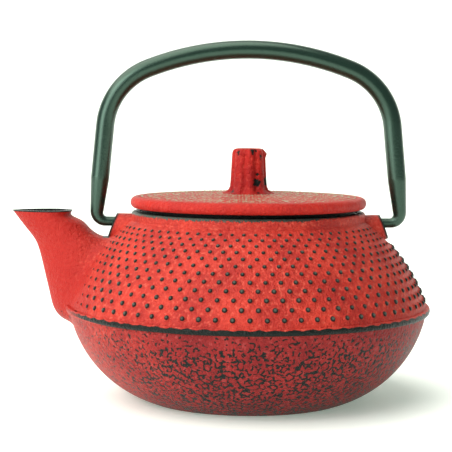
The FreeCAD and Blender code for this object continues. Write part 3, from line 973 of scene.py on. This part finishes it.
@dataclass
class NubRing:
    """A ring of nubs about the pot's axis, each square to the surface it stands on.

    A worn nub is smaller, but never under the least share of its full size.
    """

    nub: Nub
    count: int
    radius: float
    height: float
    tilt: float
    start: float
    least: float = 0.4

    def turned(self) -> Object:
        """Model one nub on its place and turn copies of it round the axis.

        Returns:
            All nubs as one object at the origin, one after the other.
        """
        ring = self.nub.build()
        stand = Matrix.Translation((0, -self.radius, self.height)) @ Matrix.Rotation(self.tilt, 4, "X")
        ring.matrix_world = Matrix.Rotation(self.start, 4, "Z") @ stand
        bpy.ops.object.transform_apply(location=True, rotation=True, scale=True)
        bpy.ops.object.empty_add(rotation=(0, 0, 2 * math.pi / self.count))
        turn = bpy.context.object
        make_only(ring)
        array = ring.modifiers.new("round", "ARRAY")
        array.use_relative_offset = False
        array.use_object_offset = True
        array.offset_object = turn
        array.count = self.count
        bpy.ops.object.modifier_apply(modifier=array.name)
        bpy.data.objects.remove(turn)
        return ring

    def build(self, share: Callable[[Vector], float]) -> Object:
        """Model the ring, and shrink or drop some of its nubs.

        Args:
            share: Says for a nub's foot how large and worn the nub is, from 0 for none to 1.

        Returns:
            The ring as one object at the origin.
        """
        ring = self.turned()
        wear = ring.data.attributes[TIP_ATTRIBUTE].data
        size = len(ring.data.vertices) // self.count
        dropped = []
        for copy in range(self.count):
            numbers = range(copy * size, (copy + 1) * size)
            turn = Matrix.Rotation(self.start + copy * 2 * math.pi / self.count, 4, "Z")
            foot = turn @ Vector((0, -self.radius, self.height))
            left = share(foot)
            if left <= 0:
                dropped.extend(numbers)
                continue
            scale = self.least + (1 - self.least) * left
            for number in numbers:
                vertex = ring.data.vertices[number]
                vertex.co = foot + (vertex.co - foot) * scale
                wear[number].value *= scale
        with editing(ring, Element.VERTEX, dropped):
            bpy.ops.mesh.delete(type="VERT")
        return ring


def join_rings(name: str, rings: list[Object]) -> Object:
    """Join rings of nubs to one piece, smooth but for the sharp edge at the foot of a nub.

    Args:
        name: Name of the piece.
        rings: Rings to join.

    Returns:
        The piece.
    """
    deselect_all()
    for ring in rings:
        ring.select_set(True)
    piece = rings[0]
    bpy.context.view_layer.objects.active = piece
    bpy.ops.object.join()
    bpy.ops.object.shade_smooth_by_angle(angle=math.radians(NUB_SMOOTH_DEGREES))
    piece.name = name
    return piece


@dataclass
class Pot:
    """The pot's casting and the hobnails on its shoulder.

    The sizes and the spacing of the hobnails are shares of the step round the pot between two of them.
    """

    rows: int = 12
    top_gap_mm: float = 2.2
    row_share: float = 0.622
    nub_radius_share: float = 0.30
    nub_height_share: float = 0.20
    sink_mm: float = 0.5
    sides: int = 8
    uneven: tuple[float, float] = (0.85, 1.0)
    spout_clear_mm: float = 21.0
    spout_clear_low_mm: float = 37.0
    spout_clear_top_mm: float = 58.5
    spout_fade_mm: float = 13.0
    ear_near_mm: float = 23.0
    ear_clear_mm: float = 7.5
    ear_fade_mm: float = 9.0
    ear_low_mm: float = 56.0
    seed: int = 7
    finish: PotIron = PotIron()

    def share(self, foot: Vector, dice: random.Random) -> float:
        """Say how large and worn a hobnail is: they fade out towards the spout and the ears.

        Args:
            foot: Foot of the hobnail.
            dice: Source of the casting's unevenness.

        Returns:
            A share from 0 for none to 1.
        """
        out, side, height = foot.x / MM, abs(foot.y) / MM, foot.z / MM
        share = dice.uniform(*self.uneven)
        if out < 0:
            drop = (self.spout_clear_top_mm - height) / (self.spout_clear_top_mm - self.spout_clear_low_mm)
            clear = self.spout_clear_mm * math.sqrt(max(0.0, drop))
            share *= min(1.0, (side - clear) / self.spout_fade_mm)
        if height > self.ear_low_mm and abs(out) > self.ear_near_mm:
            share *= min(1.0, (side - self.ear_clear_mm) / self.ear_fade_mm)
        return share

    def hobnails(self) -> Object:
        """Model the staggered rows of hobnails down the shoulder's arc.

        Returns:
            All hobnails as one piece.
        """
        across, height, arc = SHOULDER.circle()
        angle = math.atan2(SHOULDER.end_mm[1] - height, SHOULDER.end_mm[0] - across) - self.top_gap_mm / arc
        pitch = 2 * math.pi / HOBNAILS_PER_ROW
        dice = random.Random(self.seed)
        rings = []
        for row in range(self.rows):
            radius = across + arc * math.cos(angle)
            nub = Nub(self.nub_radius_share * pitch * radius, self.nub_height_share * pitch * radius,
                      self.sink_mm, self.sides)
            ring = NubRing(nub, HOBNAILS_PER_ROW, radius * MM, (height + arc * math.sin(angle)) * MM,
                           math.pi / 2 - angle, (HOBNAIL_PHASE + HOBNAIL_STAGGER * (row % 2)) * pitch)
            rings.append(ring.build(lambda foot: self.share(foot, dice)))
            angle -= self.row_share * pitch * radius / arc
        return join_rings("shoulder_hobnails", rings)

    def build(self) -> None:
        """Dress the casting and add its hobnails."""
        material = self.finish.material()
        dress(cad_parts["pot_body"], material)
        nails = self.hobnails()
        dress(nails, material)
        settle(nails, Body.POT, Slot.POT)


@dataclass
class Knob:
    """The ribbed knob, like a stump on its roots, with its tenon and peened head.

    Each ring is a radius and a rise above the foot. Each groove is drawn in twice, and each time is
    given by half the width in degrees and what is left of the radius.
    """

    sides: int = 64
    head_mm: tuple[float, float, float] = (4.3, 68.0, 68.8)
    tenon_mm: float = 3.0
    foot_mm: float = 74.5
    rings_mm: tuple[tuple[float, float], ...] = (
        (9.5, 0.0),
        (9.4, 0.25),
        (8.3, 0.7),
        (7.3, 1.5),
        (6.8, 2.6),
        (6.6, 4.5),
        (6.45, 7.0),
        (6.3, 10.0),
        (6.15, 13.0),
        (6.05, 14.6),
        (5.8, 15.6),
        (5.2, 16.25),
        (4.2, 16.5),
    )
    groove_degrees: tuple[float, ...] = (-63, -16, 27, 71, 116, 161, 206, 252)
    groove_rise_mm: float = 15.6
    stem_grooves: tuple[tuple[float, float], ...] = ((12.0, 0.965), (6.0, 0.9))
    root_grooves: tuple[tuple[float, float], ...] = ((12.0, 0.9), (6.0, 0.94))
    root_foot_mm: float = 74.6
    root_mm: float = 76.5
    burr_degrees: float = 88.0
    burr_place_mm: tuple[float, float] = (6.1, 88.6)
    burr_rise_mm: float = 0.6
    smooth_degrees: float = 50.0
    finish: KnobIron = KnobIron()

    def turned(self) -> Object:
        """Model the plain knob: a peened head drawn up ring by ring to the top.

        Returns:
            The knob before its ribs.
        """
        radius, low, high = self.head_mm
        deselect_all()
        bpy.ops.mesh.primitive_cylinder_add(vertices=self.sides, radius=radius * MM,
                                            depth=(high - low) * MM, location=(0, 0, (low + high) / 2 * MM))
        knob = bpy.context.object
        bpy.ops.object.transform_apply(location=True, rotation=False, scale=False)
        rings = [(self.tenon_mm, high), (self.tenon_mm, self.foot_mm)]
        rings += [(ring, self.foot_mm + rise) for ring, rise in self.rings_mm]
        height = high
        with editing(knob, Element.FACE, top_faces(knob)):
            for ring, level in rings:
                lift = (0, 0, (level - height) * MM)
                bpy.ops.mesh.extrude_region_move(TRANSFORM_OT_translate={"value": lift})
                bpy.ops.transform.resize(value=(ring / radius, ring / radius, 1), center_override=(0, 0, 0))
                radius, height = ring, level
            bpy.ops.mesh.poke()
        return knob

    def pinch(self, knob: Object, low: float, high: float, half: float, share: float) -> None:
        """Draw the grooves between the ribs in towards the axis.

        Args:
            knob: The knob.
            low: Lowest height that moves, in millimetres.
            high: Highest height that moves, in millimetres.
            half: Half the groove's width, in degrees.
            share: What is left of the radius.
        """
        picked = []
        for vertex in knob.data.vertices:
            turn = math.degrees(math.atan2(vertex.co.x, -vertex.co.y))
            off = min(abs((turn - groove + 180) % 360 - 180) for groove in self.groove_degrees)
            if low * MM <= vertex.co.z <= high * MM and off <= half:
                picked.append(vertex.index)
        with editing(knob, Element.VERTEX, picked):
            bpy.ops.transform.resize(value=(share, share, 1), center_override=(0, 0, 0))

    def raise_burr(self, knob: Object) -> None:
        """Draw out the small burr near the top on the right.

        Args:
            knob: The knob.
        """
        turn = math.radians(self.burr_degrees)
        way = Vector((math.sin(turn), -math.cos(turn), 0))
        out, height = self.burr_place_mm
        spot = (way * out + Vector((0, 0, height))) * MM
        nearest = min(knob.data.vertices, key=lambda vertex: (vertex.co - spot).length)
        with editing(knob, Element.VERTEX, [nearest.index]):
            bpy.ops.transform.translate(value=way * self.burr_rise_mm * MM)

    def build(self) -> None:
        """Model the knob, rib it and let it stand for the CAD one."""
        knob = self.turned()
        for half, share in self.stem_grooves:
            self.pinch(knob, self.root_mm, self.foot_mm + self.groove_rise_mm, half, share)
        for half, share in self.root_grooves:
            self.pinch(knob, self.root_foot_mm, self.root_mm, half, share)
        self.raise_burr(knob)
        make_only(knob)
        bpy.ops.object.shade_smooth_by_angle(angle=math.radians(self.smooth_degrees))
        knob.name = "ribbed_knob"
        dress(knob, self.finish.material())
        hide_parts("lid_knob")
        settle(knob, Body.LID, Slot.KNOB)


@dataclass
class Lid:
    """The lid with its rings of small dots, the knob and its washer.

    The edge and the land are (radius, height) points where the low dome starts and ends.
    """

    dot: Nub = field(default_factory=lambda: Nub(radius_mm=0.88, height_mm=0.32, sink_mm=0.3, sides=6))
    uneven: tuple[float, float] = (0.3, 1.0)
    pitch_mm: float = 2.3
    outer_mm: float = 39.0
    inner_mm: float = 11.0
    edge_mm: tuple[float, float] = (40.0, 73.2)
    land_mm: tuple[float, float] = (10.0, 74.5)
    swell_mm: float = 0.35
    seed: int = 3
    finish: LidIron = LidIron()
    washer: Stainless = Stainless("plain_steel_washer", grey="77756f", roughness=0.5)

    def dots(self) -> Object:
        """Model the rings of dots on the low dome of the lid.

        Returns:
            All dots as one piece.
        """
        rings = []
        dice = random.Random(self.seed)
        rows = int((self.outer_mm - self.inner_mm) / self.pitch_mm) + 1
        for row in range(rows):
            radius = self.outer_mm - row * self.pitch_mm
            share = (self.edge_mm[0] - radius) / (self.edge_mm[0] - self.land_mm[0])
            bow = 4 * self.swell_mm * share * (1 - share)
            height = self.edge_mm[1] + share * (self.land_mm[1] - self.edge_mm[1]) + bow
            count = round(2 * math.pi * radius / self.pitch_mm)
            ring = NubRing(self.dot, count, radius * MM, height * MM, 0.0, row * math.pi / count)
            rings.append(ring.build(lambda foot: dice.uniform(*self.uneven)))
        return join_rings("lid_dots", rings)

    def build(self) -> None:
        """Dress the lid and the washer, and add the dots and the knob."""
        material = self.finish.material()
        dress(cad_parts["lid"], material)
        dress(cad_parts["knob_washer"], self.washer.material())
        dots = self.dots()
        dress(dots, material)
        settle(dots, Body.LID, Slot.LID)
        Knob().build()


@dataclass
class Bail:
    """The tube handle."""

    finish: PaintedTube = PaintedTube()

    def build(self) -> None:
        """Dress the tube."""
        dress(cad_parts["bail"], self.finish.material())


@dataclass
class Infuser:
    """The lift-out infuser."""

    sheet: Stainless = Stainless("pressed_stainless_sheet", grey="c9cac8", roughness=0.3)
    sleeve: WovenSteel = WovenSteel("woven_steel_sleeve", flat=False)
    floor: WovenSteel = WovenSteel("woven_steel_floor", flat=True)

    def build(self) -> None:
        """Dress the pressed sheets and the woven mesh."""
        sheet = self.sheet.material()
        for node in ("infuser_rim", "infuser_base_ring"):
            dress(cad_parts[node], sheet)
        dress(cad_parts["infuser_sleeve"], self.sleeve.material())
        dress(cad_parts["infuser_floor"], self.floor.material())


@dataclass
class Studio:
    """Pale floor, soft light and the camera."""

    floor_width: float = 12.0
    floor_front: float = -1.3
    floor_back: float = 3.0
    wall_height: float = 5.0
    sweep_radius: float = 1.5
    sweep_segments: int = 24
    floor_colour: str = "f6f7f5"
    floor_roughness: float = 0.8
    # Glow of the paper itself: painted light that lifts the soft shadow
    glow_colour: str = "e2ffed"
    glow_strength: float = 0.26
    sky_colour: str = "f2fbf8"
    sky_strength: float = 0.3
    sun_from: tuple[float, float, float] = (-0.45, -0.15, 1.0)
    sun_colour: str = "fffaf3"
    sun_strength: float = 3.5
    sun_degrees: float = 75.0
    window_from: tuple[float, float, float] = (-0.95, -1.0, 0.45)
    window_size: tuple[float, float] = (1.0, 1.2)
    window_strength: float = 17.5
    camera_mm: tuple[float, float, float] = (-8.1, -518.0, 102.9)
    pitch_degrees: float = 4.46
    roll_degrees: float = 0.40
    image_width: float = 452.0
    focal_pixels: float = 1418.0
    sensor_mm: float = 36.0
    nearest: float = 0.01

    def floor(self) -> None:
        """Lay the floor under the foot and sweep it up behind to a wall."""
        deselect_all()
        bpy.ops.mesh.primitive_plane_add(size=1, location=(0, (self.floor_front + self.floor_back) / 2, 0))
        floor = bpy.context.object
        floor.name = "studio_floor"
        floor.scale = (self.floor_width, self.floor_back - self.floor_front, 1)
        bpy.ops.object.transform_apply(location=True, rotation=False, scale=True)
        back = [vertex.index for vertex in floor.data.vertices if vertex.co.y > 0]
        with editing(floor, Element.VERTEX, back):
            bpy.ops.mesh.extrude_region_move(TRANSFORM_OT_translate={"value": (0, 0, self.wall_height)})
        with editing(floor, Element.VERTEX, back):
            bpy.ops.mesh.select_mode(type="EDGE")
            bpy.ops.mesh.bevel(offset=self.sweep_radius, segments=self.sweep_segments, affect="EDGES")
        bpy.ops.object.shade_smooth()
        # Matt white paper: an even ground with a soft shadow, and a faint greenish glow, painted light that
        # lifts the shadow and keeps it pale
        finish = Finish("matt_paper_floor")
        surface = finish.add("BsdfPrincipled", {"Base Color": linear(self.floor_colour),
                                                "Roughness": self.floor_roughness,
                                                "Emission Color": linear(self.glow_colour),
                                                "Emission Strength": self.glow_strength})
        dress(floor, finish.close(surface))

    def lights(self) -> None:
        """Set a pale sky, one broad light from the upper left and a tall window on the left."""
        world = bpy.data.worlds.new("studio_sky")
        world.use_nodes = True
        sky = world.node_tree.nodes["Background"]
        sky.inputs["Color"].default_value = linear(self.sky_colour)
        sky.inputs["Strength"].default_value = self.sky_strength
        bpy.context.scene.world = world
        sun = bpy.data.lights.new("broad_light", "SUN")
        sun.energy = self.sun_strength
        sun.color = linear(self.sun_colour)[:3]
        sun.angle = math.radians(self.sun_degrees)
        window = bpy.data.lights.new("tall_window", "AREA")
        window.shape = "RECTANGLE"
        window.size, window.size_y = self.window_size
        window.energy = self.window_strength
        for lamp, source in ((sun, self.sun_from), (window, self.window_from)):
            holder = bpy.data.objects.new(lamp.name, lamp)
            holder.location = source
            holder.rotation_euler = (-Vector(source)).to_track_quat("-Z", "Y").to_euler()
            bpy.context.scene.collection.objects.link(holder)

    def camera(self) -> None:
        """Place the camera at the photograph's view."""
        lens = bpy.data.cameras.new("camera")
        lens.sensor_width = self.sensor_mm
        lens.lens = self.focal_pixels / self.image_width * self.sensor_mm
        lens.clip_start = self.nearest
        eye = bpy.data.objects.new("camera", lens)
        place = Matrix.Translation(Vector(self.camera_mm) * MM)
        tilt = Matrix.Rotation(math.radians(90 - self.pitch_degrees), 4, "X")
        eye.matrix_world = place @ tilt @ Matrix.Rotation(math.radians(self.roll_degrees), 4, "Z")
        bpy.context.scene.collection.objects.link(eye)
        bpy.context.scene.camera = eye

    def build(self) -> None:
        """Set up the whole stage."""
        self.camera()
        self.floor()
        self.lights()
        bpy.context.scene.view_settings.view_transform = "Standard"


def main() -> None:
    """Build the stage and each sub-assembly in order."""
    logging.basicConfig(level=logging.INFO, format="%(name)s: %(message)s")
    for assembly in (Studio(), Pot(), Lid(), Bail(), Infuser()):
        assembly.build()
        log.info("%s done", type(assembly).__name__)


if __name__ == "__main__":
    main()
